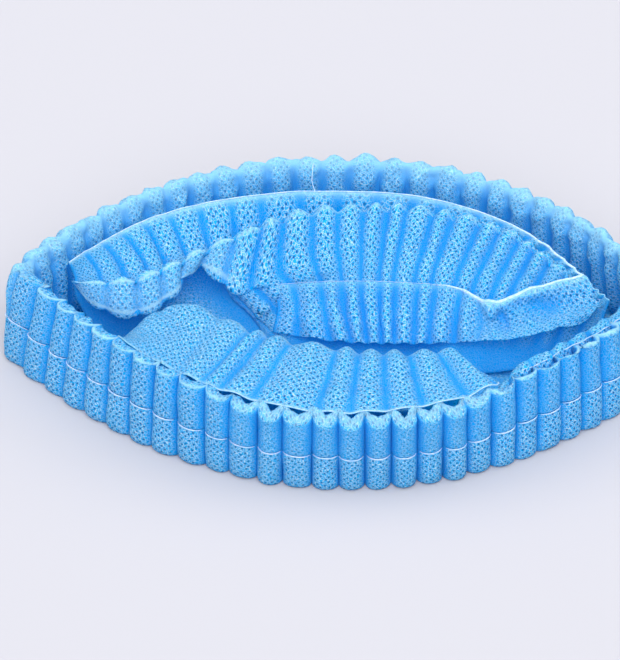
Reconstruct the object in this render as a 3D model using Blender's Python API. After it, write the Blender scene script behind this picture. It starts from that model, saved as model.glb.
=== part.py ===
"""A disposable pleated mob cap, pulled part open and laid down with its opening upwards.

The real cap is one sheet of nonwoven with an elastic along each long hem. It is folded into a strip, and
here the strip is spread into a lens: a tall fluted wall all round, and inside it the folds that lead to the
two hems. X runs along the lens, Y away from its front, Z up, and the origin is under the crown's middle.
"""

import bisect
import math
from collections import namedtuple

import bmesh
import bpy
from mathutils import Vector

MM = 0.001

# Sizes of the cap as it lies
CAP_LENGTH = 212 * MM
CAP_DEPTH = 140 * MM
WALL_HEIGHT = 30 * MM
WALL_FOLD_DEPTH = 10 * MM
TIP_LEAN = 6.5 * MM
LEAN_FADE = 2.75
SHEET = 1.0 * MM
CROWN_THICKNESS = 1.2 * MM
ELASTIC_WIDTH = 1.4 * MM
GAP = 0.35 * MM
TIP_BLUNTNESS = 1.75

# The flutes, and how full they bulge: 1 is a sine's arch, and less is rounder with a sharper crease
FRONT_FLUTES = 31
BACK_FLUTES = 29
FRONT_CROWDING = 0.25
FLUTE_FULLNESS = 0.6
CENTRE_FLUTES = 23
CENTRE_FLUTE_DEPTH = 3.6 * MM
FRONT_FOLD_FLUTES = 14
FRONT_FOLD_FLUTE_DEPTH = 2.2 * MM

# How finely the model is divided
SAMPLES = 4
CROWN_POINTS = 96
OUTLINE_STEPS = 600
CROWDING_ROUNDS = 30
FRONT_ELASTIC_STRIDE = 2
SHARP_ANGLE = math.radians(50)
MERGE_DISTANCE = 0.01 * MM

# The front fold starts on the wall's inner side, between these turns
FRONT_FOLD_TURNS = (0.63, 0.822)
LIP_UP_FOLDED = 0.93
LIP_UP_GAPING = 0.98

# One row for each level of the wall, from its foot at the crown's edge, up outside and down inside: its
# height as a share of the wall's, and how far in its flutes' crests and creases stand as shares of its fold
WallLevel = namedtuple("WallLevel", "up crest_in crease_in crease_drop")
FOLDED_WALL = (
    WallLevel(0.00, 1.35, 1.35, 0.00),
    WallLevel(0.00, 0.08, 0.52, 0.00),
    WallLevel(0.45, 0.04, 0.52, 0.00),
    WallLevel(0.90, 0.14, 0.60, 0.00),
    WallLevel(1.00, 0.44, 0.66, 0.07),
    WallLevel(0.89, 0.94, 0.80, 0.05),
    WallLevel(0.25, 1.00, 0.86, 0.00),
)
GAPING_WALL = (
    WallLevel(0.00, 1.35, 1.35, 0.00),
    WallLevel(0.00, 0.08, 0.64, 0.00),
    WallLevel(0.45, 0.06, 0.68, 0.00),
    WallLevel(0.85, 0.10, 0.74, 0.00),
    WallLevel(1.00, 0.46, 0.82, 0.00),
    WallLevel(0.80, 0.62, 0.86, 0.00),
    WallLevel(0.25, 0.80, 0.94, 0.00),
)

# The two levels that the front fold is seated on
BRIM = 4
INNER = 5

# How tall the wall stands at stations round it, from the right tip by the back to the left tip and on by the
# front, and how far it gapes there, where 0 is folded over and 1 is open on top
WallStation = namedtuple("WallStation", "turn height gaping")
WALL_STATIONS = (
    WallStation(0.00, 0.92, 0),
    WallStation(0.25, 0.98, 0),
    WallStation(0.50, 1.07, 0),
    WallStation(0.62, 1.02, 0),
    WallStation(0.69, 0.94, 0),
    WallStation(0.73, 0.87, 1),
    WallStation(0.80, 0.87, 1),
    WallStation(0.835, 0.93, 0),
    WallStation(1.00, 0.92, 0),
)

# Half the space inside the wall, and the height of a foot that stands on the crown
INNER_HALF_LENGTH = CAP_LENGTH / 2 - WALL_FOLD_DEPTH - TIP_LEAN
INNER_HALF_DEPTH = CAP_DEPTH / 2 - WALL_FOLD_DEPTH
FOOT_HEIGHT = CROWN_THICKNESS + GAP + SHEET / 2

# Stations on the lines across each fold: shares of the inner half length, the inner half depth and the wall
# height. A foot has no height of its own, because it stands on the crown.
Station = namedtuple("Station", "along across up")
CENTRE_FOLD = {
    "hem": (
        Station(-0.947, 0.134, 0.97),
        Station(-0.722, 0.478, 0.97),
        Station(-0.450, 0.677, 0.98),
        Station(-0.113, 0.764, 0.98),
        Station(0.249, 0.717, 0.97),
        Station(0.586, 0.443, 0.93),
        Station(0.868, -0.035, 0.75),
    ),
    "valley": (
        Station(-0.924, 0.140, 0.78),
        Station(-0.699, 0.332, 0.75),
        Station(-0.462, 0.507, 0.65),
        Station(-0.124, 0.648, 0.60),
        Station(0.225, 0.607, 0.63),
        Station(0.563, 0.402, 0.80),
        Station(0.862, -0.023, 0.65),
    ),
    "ridge": (
        Station(-0.936, 0.099, 0.77),
        Station(-0.722, 0.099, 0.80),
        Station(-0.474, 0.292, 0.92),
        Station(-0.136, 0.473, 1.12),
        Station(0.225, 0.490, 1.13),
        Station(0.563, 0.338, 0.97),
        Station(0.857, -0.023, 0.60),
    ),
    "brow": (
        Station(-0.924, 0.041, 0.67),
        Station(-0.699, 0.008, 0.58),
        Station(-0.409, 0.152, 0.68),
        Station(-0.113, 0.216, 0.73),
        Station(0.201, 0.216, 0.73),
        Station(0.521, 0.152, 0.67),
        Station(0.835, -0.018, 0.40),
    ),
    "foot": (
        Station(-0.835, 0.099, None),
        Station(-0.586, 0.134, None),
        Station(-0.272, 0.018, None),
        Station(-0.079, -0.050, None),
        Station(0.169, -0.067, None),
        Station(0.426, -0.050, None),
        Station(0.770, 0.023, None),
    ),
}
CENTRE_FLUTE_SHARES = {"hem": 0.2, "valley": 0.8, "ridge": 1.0, "brow": 0.8, "foot": 0.5}

FRONT_FOLD = {
    "foot": (
        Station(-0.675, -0.198, None),
        Station(-0.545, -0.128, None),
        Station(-0.296, -0.315, None),
        Station(0.000, -0.455, None),
        Station(0.249, -0.502, None),
        Station(0.450, -0.712, None),
    ),
    "ridge": (
        Station(-0.746, -0.338, 0.70),
        Station(-0.568, -0.187, 0.90),
        Station(-0.308, -0.432, 0.90),
        Station(0.000, -0.560, 0.87),
        Station(0.272, -0.572, 0.85),
        Station(0.474, -0.770, 0.80),
    ),
}
FRONT_FLUTE_SHARES = {"foot": 0.6, "ridge": 1.0, "lip": 0.3}

# The front hem panel lies on the centre fold's face at its left, and sags away from it in a pocket at its
# right. It spans these shares of the centre fold's length, and its flutes follow the centre fold's.
PANEL_SPAN = (0.41, 0.975)
FRONT_HEM_PANEL = {
    "hem": (
        Station(-0.261, 0.131, 0.70),
        Station(-0.059, 0.146, 0.72),
        Station(0.154, 0.140, 0.72),
        Station(0.373, 0.087, 0.70),
        Station(0.586, 0.012, 0.76),
        Station(0.782, 0.035, 0.83),
    ),
    "sag": (
        Station(-0.213, 0.070, 0.52),
        Station(-0.047, 0.064, 0.52),
        Station(0.148, 0.052, 0.52),
        Station(0.367, -0.023, 0.53),
        Station(0.598, -0.082, 0.55),
        Station(0.796, -0.052, 0.66),
    ),
    "drop": (
        Station(-0.184, -0.023, 0.32),
        Station(-0.024, -0.076, 0.30),
        Station(0.148, -0.093, 0.30),
        Station(0.349, -0.111, 0.34),
        Station(0.586, -0.134, 0.40),
        Station(0.796, -0.105, 0.48),
    ),
}
PANEL_FLUTE_SHARES = {"hem": 0.8, "sag": 0.7, "drop": 0.5}

BLUE = (0.20, 0.56, 0.93, 1.0)
WHITE = (0.88, 0.91, 0.97, 1.0)


def material(name, colour, roughness):
    made = bpy.data.materials.new(name)
    made.use_nodes = True
    shader = made.node_tree.nodes["Principled BSDF"]
    shader.inputs["Base Color"].default_value = colour
    shader.inputs["Roughness"].default_value = roughness
    shader.inputs["Metallic"].default_value = 0.0
    return made


def ring_point(turn, inset, height):
    """A point on the lens, at a share of a turn from its right tip, brought in by inset."""
    angle = math.tau * turn
    sine = math.sin(angle)
    x = (CAP_LENGTH / 2 - inset) * math.cos(angle)
    y = (CAP_DEPTH / 2 - inset) * math.copysign(abs(sine) ** TIP_BLUNTNESS, sine)
    return Vector((x, y, height))


def wall_point(turn, inset, share_up, drop=0.0):
    """A point of the wall, which leans in towards its top at both tips."""
    height = WALL_HEIGHT * wall_station(turn).height
    lean = TIP_LEAN * abs(math.cos(math.tau * turn)) ** LEAN_FADE * share_up
    return ring_point(turn, inset + lean, max(height * (share_up - drop), SHEET / 2))


def wall_station(turn):
    for low, high in zip(WALL_STATIONS, WALL_STATIONS[1:]):
        if turn <= high.turn:
            break
    share = smooth((turn - low.turn) / (high.turn - low.turn))
    return WallStation(*(a + (b - a) * share for a, b in zip(low, high)))


def arch(phase):
    """One flute's form: 0 in the crease at phase 0 and 1, and 1 on its rounded crest."""
    return math.sin(math.pi * (phase % 1.0)) ** FLUTE_FULLNESS


def smooth(share):
    return share * share * (3 - 2 * share)


def side_turns(start, flutes, crowding):
    """The share of a turn and the phase of each sample on the half ring that begins at start.

    Flutes are spaced by the length of the outline, closer in the middle of the side where crowding is over 0.
    """
    lengths = [0.0]
    for step in range(OUTLINE_STEPS):
        ends = [ring_point(start + 0.5 * (step + add) / OUTLINE_STEPS, 0, 0) for add in (0, 1)]
        lengths.append(lengths[-1] + (ends[1] - ends[0]).length)
    samples = []
    for index in range(flutes * SAMPLES):
        wanted = index / (flutes * SAMPLES)
        share = wanted
        for _ in range(CROWDING_ROUNDS):
            share = wanted + crowding * math.sin(math.tau * share) / (4 * math.pi)
        target = share * lengths[-1]
        low = max(0, bisect.bisect_right(lengths, target) - 1)
        part = (target - lengths[low]) / (lengths[low + 1] - lengths[low])
        samples.append((start + 0.5 * (low + part) / OUTLINE_STEPS, index / SAMPLES))
    return samples


def finish(name, bm, surface, thickness):
    """An object from a sheet of no thickness, given its thickness on both sides."""
    bmesh.ops.recalc_face_normals(bm, faces=bm.faces)
    mesh = bpy.data.meshes.new(name)
    bm.to_mesh(mesh)
    bm.free()
    mesh.materials.append(surface)
    made = bpy.data.objects.new(name, mesh)
    bpy.context.scene.collection.objects.link(made)
    solidify = made.modifiers.new("Sheet thickness", "SOLIDIFY")
    solidify.thickness = thickness
    solidify.offset = 0.0
    mesh.shade_smooth()
    mesh.set_sharp_from_angle(angle=SHARP_ANGLE)
    return made


def ring_sheet(rows):
    """A closed ring of points for each row, joined by faces."""
    bm = bmesh.new()
    bmesh.ops.create_grid(bm, x_segments=len(rows[0]), y_segments=len(rows) - 1, size=1)
    place_grid(bm, [row + row[:1] for row in rows])
    bmesh.ops.remove_doubles(bm, verts=bm.verts, dist=MERGE_DISTANCE)
    return bm


def open_sheet(rows):
    bm = bmesh.new()
    bmesh.ops.create_grid(bm, x_segments=len(rows[0]) - 1, y_segments=len(rows) - 1, size=1)
    place_grid(bm, rows)
    return bm


def place_grid(bm, rows):
    """Moves the points of a 2 by 2 grid to the rows of points, by their place on the grid."""
    across, up = len(rows[0]) - 1, len(rows) - 1
    for vertex in bm.verts:
        column = round((vertex.co.x + 1) / 2 * across)
        row = round((vertex.co.y + 1) / 2 * up)
        vertex.co = rows[row][column]


def wall_rows():
    samples = side_turns(0.0, BACK_FLUTES, 0.0) + side_turns(0.5, FRONT_FLUTES, FRONT_CROWDING)
    rows = []
    for folded, gaping in zip(FOLDED_WALL, GAPING_WALL):
        row = []
        for turn, phase in samples:
            share = wall_station(turn).gaping
            level = WallLevel(*(a + (b - a) * share for a, b in zip(folded, gaping)))
            crest = arch(phase)
            share_in = level.crease_in + (level.crest_in - level.crease_in) * crest
            drop = level.crease_drop * (1 - crest)
            row.append(wall_point(turn, WALL_FOLD_DEPTH * share_in, level.up, drop))
        rows.append(row)
    return rows


def station_point(station):
    height = FOOT_HEIGHT if station.up is None else station.up * WALL_HEIGHT
    return Vector((station.along * INNER_HALF_LENGTH, station.across * INNER_HALF_DEPTH, height))


def through(points, share):
    """A point on the smooth curve through the points, at a share of the way along them."""
    place = share * (len(points) - 1)
    index = min(int(place), len(points) - 2)
    part = place - index
    before = points[max(index - 1, 0)]
    start, end = points[index], points[index + 1]
    after = points[min(index + 2, len(points) - 1)]
    return 0.5 * (
        2 * start
        + (end - before) * part
        + (2 * before - 5 * start + 4 * end - after) * part**2
        + (3 * start - before - 3 * end + after) * part**3
    )


def fluted_rows(lines, flute_shares, depth, phases):
    """Rows of points along the lines of a fold, pushed out along its normal on the flutes' crests."""
    rows = []
    last = len(phases) - 1
    for index, line in enumerate(lines):
        above, below = lines[max(index - 1, 0)], lines[min(index + 1, len(lines) - 1)]
        row = []
        for column, point in enumerate(line):
            ahead = line[min(column + 1, last)] - line[max(column - 1, 0)]
            down = below[column] - above[column]
            normal = down.cross(ahead).normalized()
            fade = min(1.0, column / SAMPLES, (last - column) / SAMPLES)
            push = (arch(phases[column]) - 0.5) * depth * flute_shares[index] * fade
            pushed = point + normal * push
            pushed.z = max(pushed.z, FOOT_HEIGHT)
            row.append(pushed)
        rows.append(row)
    return rows


def spread(flutes):
    """Even shares from 0 to 1, a few for each flute."""
    columns = round(flutes * SAMPLES)
    return [column / columns for column in range(columns + 1)]


def fold_lines(table, shares):
    """The points of each line of a fold's table, at the shares of the way along it."""
    lines = []
    for stations in table.values():
        points = [station_point(station) for station in stations]
        lines.append([through(points, share) for share in shares])
    return lines


def centre_rows():
    shares = spread(CENTRE_FLUTES)
    lines = fold_lines(CENTRE_FOLD, shares)
    phases = [share * CENTRE_FLUTES for share in shares]
    return fluted_rows(lines, list(CENTRE_FLUTE_SHARES.values()), CENTRE_FLUTE_DEPTH, phases)


def panel_rows():
    start, end = PANEL_SPAN
    shares = spread(CENTRE_FLUTES * (end - start))
    lines = fold_lines(FRONT_HEM_PANEL, shares)
    phases = [(start + (end - start) * share) * CENTRE_FLUTES for share in shares]
    return fluted_rows(lines, list(PANEL_FLUTE_SHARES.values()), CENTRE_FLUTE_DEPTH, phases)


def front_rows():
    start, end = FRONT_FOLD_TURNS
    shares = spread(FRONT_FOLD_FLUTES)
    lines = fold_lines(FRONT_FOLD, shares)
    lip = []
    for share in shares:
        turn = start + (end - start) * share
        gaping = wall_station(turn).gaping
        folded_in = FOLDED_WALL[INNER].crest_in
        wall_in = folded_in + (GAPING_WALL[BRIM].crease_in - folded_in) * gaping
        share_up = LIP_UP_FOLDED + (LIP_UP_GAPING - LIP_UP_FOLDED) * gaping
        lip.append(wall_point(turn, WALL_FOLD_DEPTH * wall_in + SHEET + GAP, share_up))
    lines.append(lip)
    phases = [share * FRONT_FOLD_FLUTES for share in shares]
    return fluted_rows(lines, list(FRONT_FLUTE_SHARES.values()), FRONT_FOLD_FLUTE_DEPTH, phases)


def build_outer_wall(surface):
    finish("outer_wall", ring_sheet(wall_rows()), surface, SHEET)


def build_crown_base(surface):
    """The flat crown, inside the edge of the wall's turned-in foot."""
    bm = bmesh.new()
    bmesh.ops.create_circle(bm, cap_ends=True, segments=CROWN_POINTS, radius=1)
    inset = WALL_FOLD_DEPTH * FOLDED_WALL[0].crest_in + GAP
    for index, vertex in enumerate(bm.verts):
        vertex.co = ring_point(index / CROWN_POINTS, inset, CROWN_THICKNESS / 2)
    finish("crown_base", bm, surface, CROWN_THICKNESS)


def build_centre_fold(surface):
    finish("centre_fold", open_sheet(centre_rows()), surface, SHEET)


def build_front_fold(surface):
    finish("front_fold", open_sheet(front_rows()), surface, SHEET)


def build_front_hem_panel(surface):
    finish("front_hem_panel", open_sheet(panel_rows()), surface, SHEET)


def build_elastic(name, line, surface):
    """A round elastic along a line of points."""
    curve = bpy.data.curves.new(name, "CURVE")
    curve.dimensions = "3D"
    curve.bevel_depth = ELASTIC_WIDTH / 2
    curve.bevel_resolution = 1
    curve.use_fill_caps = True
    spline = curve.splines.new("POLY")
    spline.points.add(len(line) - 1)
    for point, place in zip(spline.points, line):
        point.co = (*place, 1.0)
    curve.materials.append(surface)
    made = bpy.data.objects.new(name, curve)
    bpy.context.scene.collection.objects.link(made)


def beyond(edge, inner, distance):
    """The edge's points moved away from the inner row by distance."""
    return [e + (e - i).normalized() * distance for e, i in zip(edge, inner)]


def main():
    for stale in list(bpy.data.objects):
        bpy.data.objects.remove(stale)
    nonwoven = material("pale_blue_nonwoven", BLUE, 0.75)
    elastic = material("white_elastic", WHITE, 0.6)
    build_outer_wall(nonwoven)
    build_crown_base(nonwoven)
    build_centre_fold(nonwoven)
    build_front_fold(nonwoven)
    build_front_hem_panel(nonwoven)
    seat = ELASTIC_WIDTH / 2 + GAP
    back = centre_rows()
    build_elastic("back_elastic", beyond(back[0], back[1], seat)[::SAMPLES], elastic)
    front = panel_rows()
    build_elastic("front_elastic", beyond(front[0], front[1], seat)[::FRONT_ELASTIC_STRIDE], elastic)


main()
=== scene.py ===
# %% [markdown]
# # A pleated mob cap, pulled part open
#
# The real cap is one long sheet of thin nonwoven cloth. A machine presses it into narrow flutes and welds a
# rubber strand into each long hem, so the cap comes out of its box as a flat strip. Here the strip is pulled
# part open and laid on its crown. This script dresses the plain solids of that cap with fine cloth.
#
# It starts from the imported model, which is the frame. Every piece below is made where the frame's own piece
# lies, so nothing is fitted afterwards.

# %% The frame
import math
import random
from collections import namedtuple

import bmesh
import bpy
import numpy as np
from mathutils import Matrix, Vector, noise


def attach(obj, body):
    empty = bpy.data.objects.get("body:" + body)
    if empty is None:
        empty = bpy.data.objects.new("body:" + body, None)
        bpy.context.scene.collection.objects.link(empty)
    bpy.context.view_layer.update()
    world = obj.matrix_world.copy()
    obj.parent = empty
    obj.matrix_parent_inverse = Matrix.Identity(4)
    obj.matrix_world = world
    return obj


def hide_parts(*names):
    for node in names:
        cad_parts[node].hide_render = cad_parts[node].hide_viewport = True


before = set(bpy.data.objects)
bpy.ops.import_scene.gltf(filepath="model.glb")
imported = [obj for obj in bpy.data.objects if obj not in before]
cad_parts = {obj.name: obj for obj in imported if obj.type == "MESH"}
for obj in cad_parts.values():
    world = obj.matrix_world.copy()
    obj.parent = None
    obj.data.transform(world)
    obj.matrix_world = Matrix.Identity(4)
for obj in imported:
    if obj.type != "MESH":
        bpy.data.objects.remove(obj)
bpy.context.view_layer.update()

# %% [markdown]
# The sizes are those of the real cap, as estimated from the photograph, in metres. Such cloth is about 0.15
# mm thick, and its fibres stand up a little, so its sheets are given a thickness of 0.3 mm. The slimness of a
# side makes the lens narrower towards its two tips, and near them the wall leans in.

# %% The sizes
MM = 0.001
CAP_LENGTH = 212 * MM
CAP_DEPTH = 140 * MM
WALL_HEIGHT = 30 * MM
WALL_FOLD_DEPTH = 10 * MM
TIP_LEAN = 6.5 * MM
LEAN_FADE = 2.75
FRONT_SLIMNESS = 1.9
BACK_SLIMNESS = 1.75
CROWN_THICKNESS = 1.2 * MM
CLOTH = 0.3 * MM
INNER_HALF_LENGTH = CAP_LENGTH / 2 - WALL_FOLD_DEPTH - TIP_LEAN
INNER_HALF_DEPTH = CAP_DEPTH / 2 - WALL_FOLD_DEPTH
FOOT_HEIGHT = CROWN_THICKNESS + CLOTH
chance = random.Random(21)
print("inside the wall, mm:", round(2 * INNER_HALF_LENGTH / MM), "x", round(2 * INNER_HALF_DEPTH / MM))

# %% [markdown]
# The camera looks down on the cap at 35 degrees from the front, from far enough away that the lines hardly
# converge. The photograph's scale is 3.29 of its pixels for each millimetre.

# %% The camera
ELEVATION = math.radians(35)
CAMERA_DISTANCE = 2.2
PIXELS_PER_METRE = 3290
PICTURE_SIDE = 660
LOOKS_AT = Vector((-0.0122, 0.0144, 0.0))


def placed(name, data):
    """A new object in the scene."""
    made = bpy.data.objects.new(name, data)
    bpy.context.scene.collection.objects.link(made)
    return made


lens = bpy.data.cameras.new("camera")
lens.lens = lens.sensor_width * PIXELS_PER_METRE * CAMERA_DISTANCE / PICTURE_SIDE
lens.clip_end = 20
camera = placed("camera", lens)
towards_camera = Vector((0, -math.cos(ELEVATION), math.sin(ELEVATION)))
camera.location = LOOKS_AT + CAMERA_DISTANCE * towards_camera
camera.rotation_euler = towards_camera.to_track_quat("Z", "Y").to_euler()
bpy.context.scene.camera = camera
print("lens, mm:", round(lens.lens))

# %% [markdown]
# The floor is one pale sheet that fills the picture. The pale world lights it from all sides and gives about
# a third of its light. Five wide suns give the rest, and their shadows are soft. The strongest is in front,
# on the camera's side. One stands high above, one behind, and one at each side, so that the flutes at both
# ends are lit on their outer sides. Suns light the whole floor evenly, which lamps near the cap wouldn't.

# %% The floor and the light
WORLD_COLOUR = (0.93, 0.95, 1.0, 1)
WORLD_STRENGTH = 0.55
FLOOR_SIDE = 12

Sun = namedtuple("Sun", "name comes_from strength spread")
SUNS = (
    Sun("high_sun", (0.0, -0.2, 1.0), 0.90, 70),
    Sun("back_sun", (0.1, 0.6, 1.0), 0.45, 45),
    Sun("left_sun", (-1.0, 0.25, 0.7), 0.50, 40),
    Sun("right_sun", (1.0, 0.25, 0.7), 0.50, 40),
    Sun("front_sun", (0.0, -1.0, 0.9), 2.60, 50),
)

bm = bmesh.new()
bmesh.ops.create_grid(bm, x_segments=1, y_segments=1, size=FLOOR_SIDE / 2)
floor_mesh = bpy.data.meshes.new("floor")
bm.to_mesh(floor_mesh)
bm.free()
floor = placed("floor", floor_mesh)

for sun in SUNS:
    light = bpy.data.lights.new(sun.name, "SUN")
    light.energy = sun.strength
    light.angle = math.radians(sun.spread)
    made = placed(sun.name, light)
    made.rotation_euler = Vector(sun.comes_from).to_track_quat("Z", "Y").to_euler()

world = bpy.data.worlds.new("studio")
world.use_nodes = True
sky = world.node_tree.nodes["Background"]
sky.inputs["Color"].default_value = WORLD_COLOUR
sky.inputs["Strength"].default_value = WORLD_STRENGTH
bpy.context.scene.world = world
bpy.context.scene.view_settings.view_transform = "Standard"
print("suns:", len(SUNS))

# %% [markdown]
# A material is a net of nodes. Written as code, its sums are easier to read as sums, so a small class stands
# for a socket and turns + - * into Math nodes. A recipe is one material and makes any other node.


# %% Sums on sockets
class Wire:
    """An output socket of a recipe's node, for use in sums."""

    def __init__(self, recipe, socket):
        self.recipe = recipe
        self.socket = socket

    def sum(self, operation, first, second):
        return self.recipe.node("Math", {"operation": operation}, {0: first, 1: second})

    def __add__(self, other):
        return self.sum("ADD", self, other)

    def __mul__(self, other):
        return self.sum("MULTIPLY", self, other)

    def __sub__(self, other):
        return self.sum("SUBTRACT", self, other)

    def __rsub__(self, other):
        return self.sum("SUBTRACT", other, self)


class Recipe:
    """A material whose nodes are made one call at a time."""

    def __init__(self, name, **constants):
        self.material = bpy.data.materials.new(name)
        self.material.use_nodes = True
        self.tree = self.material.node_tree
        self.shader = self.tree.nodes["Principled BSDF"]
        for socket, value in constants.items():
            self.shader.inputs[socket.replace("_", " ")].default_value = value

    def node(self, kind, settings=None, sockets=None, output=0):
        made = self.tree.nodes.new("ShaderNode" + kind)
        for name, value in (settings or {}).items():
            setattr(made, name, value)
        for name, value in (sockets or {}).items():
            self.feed(made.inputs[name], value)
        return Wire(self, made.outputs[output])

    def feed(self, socket, value):
        if isinstance(value, Wire):
            self.tree.links.new(value.socket, socket)
        else:
            socket.default_value = value

    def mix(self, share, first, second):
        return self.node("Mix", {"data_type": "RGBA"}, {0: share, 6: first, 7: second}, 2)

    def between(self, value, low, high):
        """0 where value is at low, 1 where it is at high, and smooth in between."""
        settings = {"interpolation_type": "SMOOTHSTEP"}
        return self.node("MapRange", settings, {"Value": value, "From Min": low, "From Max": high})

    def finish(self, colour, height, depth):
        """Feeds the shader its colour, and a bump whose heights of 0 and 1 are depth metres apart."""
        self.feed(self.shader.inputs["Base Color"], colour)
        bump = self.node("Bump", None, {"Height": height, "Distance": depth})
        self.feed(self.shader.inputs["Normal"], bump)
        return self.material


print("Wire and Recipe are ready")

# %% [markdown]
# The nonwoven is a mat of fine fibres, bonded by a pattern of small dots about 1.5 mm apart. A dot is pressed
# thin and shows the deep blue. Fibres loop between the dots and catch the light, so they are nearly white.
# The pattern follows the cloth, on a UV map that is measured in metres along the sheet.
#
# Two attributes paint light and shade into the colour. "crest" is 0 in a crease, which is painted a deeper,
# plainer blue as shade with the pattern fading out, and 1 on a crest. "painted_highlight" is 1 where a
# painted highlight makes the cloth paler, on edges that stand against the light.
# The cloth is so thin that light also comes through it, so the shader is a mix with a Translucent one.

# %% The nonwoven
DOT_PITCH = 1.52 * MM
DOT_JITTER = 0.35
DOT_EDGE = (0.14, 0.30)
DOT_COVER = 0.95
FIBRE_PITCH = 0.70 * MM
FIBRE_EDGE = (0.02, 0.17)
FIBRE_COVER = 0.92
FIBRES_IN_CREASES = 0.15
FIBRE_HEIGHT = 0.5
FIBRE_RELIEF = 0.12 * MM
PATTERN_SHOWN = (0.12, 0.75)
HIGHLIGHT_COVER = 0.75
THROUGH_LIGHT = 0.50
RUBBER_GRAIN = 900.0
RUBBER_TINT = (0.35, 0.65)
RUBBER_RELIEF = 0.05 * MM
PAINTED_SHADE_BLUE = (0.001, 0.37, 0.88, 1)
CLOTH_BLUE = (0.025, 0.50, 0.96, 1)
FIBRE_BLUE = (0.80, 1.0, 1.0, 1)
DOT_BLUE = (0.001, 0.075, 0.34, 1)
HIGHLIGHT_BLUE = (0.62, 0.92, 1.0, 1)
LIGHT_BLUE = (0.003, 0.84, 1.0, 1)
RUBBER_BLUE = (0.30, 0.56, 0.88, 1)
RUBBER_WHITE = (0.52, 0.68, 0.90, 1)
FLOOR_COLOUR = (0.504, 0.500, 0.539, 1)


def nonwoven(name):
    recipe = Recipe(name, Roughness=0.75, Sheen_Weight=0.04, Sheen_Roughness=0.45, Specular_IOR_Level=0.08)
    along = recipe.node("UVMap", {"uv_map": "cloth"})
    crest = recipe.node("Attribute", {"attribute_name": "crest"}, None, 2)
    painted_highlight = recipe.node("Attribute", {"attribute_name": "painted_highlight"}, None, 2)
    turned = recipe.node("Mapping", None, {"Vector": along, "Rotation": (0, 0, math.radians(45))})
    cells = {"Vector": turned, "Scale": 1 / DOT_PITCH, "Randomness": DOT_JITTER}
    centre = recipe.node("TexVoronoi", {"voronoi_dimensions": "2D"}, cells)
    # The noise moves the fibres' pattern by up to one dot's pitch
    sway = recipe.node("TexNoise", {"noise_dimensions": "2D"}, {"Vector": along, "Scale": 1 / DOT_PITCH}, 1)
    vectors = {"data_type": "VECTOR", "clamp_factor": False}
    swayed = recipe.node("Mix", vectors, {0: DOT_PITCH, 4: along, 5: sway}, 1)
    edges = {"voronoi_dimensions": "2D", "feature": "DISTANCE_TO_EDGE"}
    strand = recipe.node("TexVoronoi", edges, {"Vector": swayed, "Scale": 1 / FIBRE_PITCH})
    # Painted shade: where "crest" is low the pattern fades and the colour turns to the painted shade blue
    shown = recipe.between(crest, *PATTERN_SHOWN)
    dots = (1 - recipe.between(centre, *DOT_EDGE)) * shown
    fibres = (1 - recipe.between(strand, *FIBRE_EDGE)) * (shown * (1 - FIBRES_IN_CREASES) + FIBRES_IN_CREASES)
    plain = recipe.mix(shown, PAINTED_SHADE_BLUE, CLOTH_BLUE)
    woolly = recipe.mix(fibres * FIBRE_COVER, plain, FIBRE_BLUE)
    dotted = recipe.mix(dots * DOT_COVER, woolly, DOT_BLUE)
    # Painted highlight: the colour turns paler where the painted_highlight attribute is high
    colour = recipe.mix(painted_highlight * HIGHLIGHT_COVER, dotted, HIGHLIGHT_BLUE)
    recipe.finish(colour, fibres * FIBRE_HEIGHT - dots + 1.0, FIBRE_RELIEF)
    glow = recipe.node("BsdfTranslucent", None, {"Color": LIGHT_BLUE})
    surface = Wire(recipe, recipe.shader.outputs[0])
    both = recipe.node("MixShader", None, {0: THROUGH_LIGHT, 1: surface, 2: glow})
    recipe.feed(recipe.tree.nodes["Material Output"].inputs["Surface"], both)
    return recipe.material


def white_rubber(name):
    recipe = Recipe(name, Roughness=0.55, Sheen_Weight=0.2)
    along = recipe.node("TexCoord", None, None, 3)
    grain = recipe.node("TexNoise", None, {"Vector": along, "Scale": RUBBER_GRAIN, "Detail": 2.0})
    tint = recipe.between(grain, *RUBBER_TINT)
    colour = recipe.mix(tint, RUBBER_BLUE, RUBBER_WHITE)
    return recipe.finish(colour, tint, RUBBER_RELIEF)


cloth_surface = nonwoven("pale_blue_nonwoven")
rubber_surface = white_rubber("white_rubber")
floor_surface = Recipe("pale_floor", Roughness=1.0, Specular_IOR_Level=0.0, Base_Color=FLOOR_COLOUR).material
floor.data.materials.append(floor_surface)
print("dots every", round(DOT_PITCH / MM, 2), "mm")

# %% [markdown]
# A sheet of cloth starts as a flat grid. Its points are then moved to the rows of points that a piece works
# out, one row for each line along the sheet. The grid's UV map is measured on the moved cloth, so the pattern
# keeps its size in the flutes. A Solidify modifier gives the sheet its thickness.

# %% Cloth from rows of points
WELDED_WITHIN = 0.001 * MM


def step_lengths(points, axis):
    """How far along the sheet each point lies, measured over the points on one axis of the grid."""
    steps = np.linalg.norm(np.diff(points, axis=axis), axis=2)
    start = np.zeros_like(np.take(steps, [0], axis=axis))
    return np.cumsum(np.concatenate([start, steps], axis=axis), axis=axis)


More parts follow.
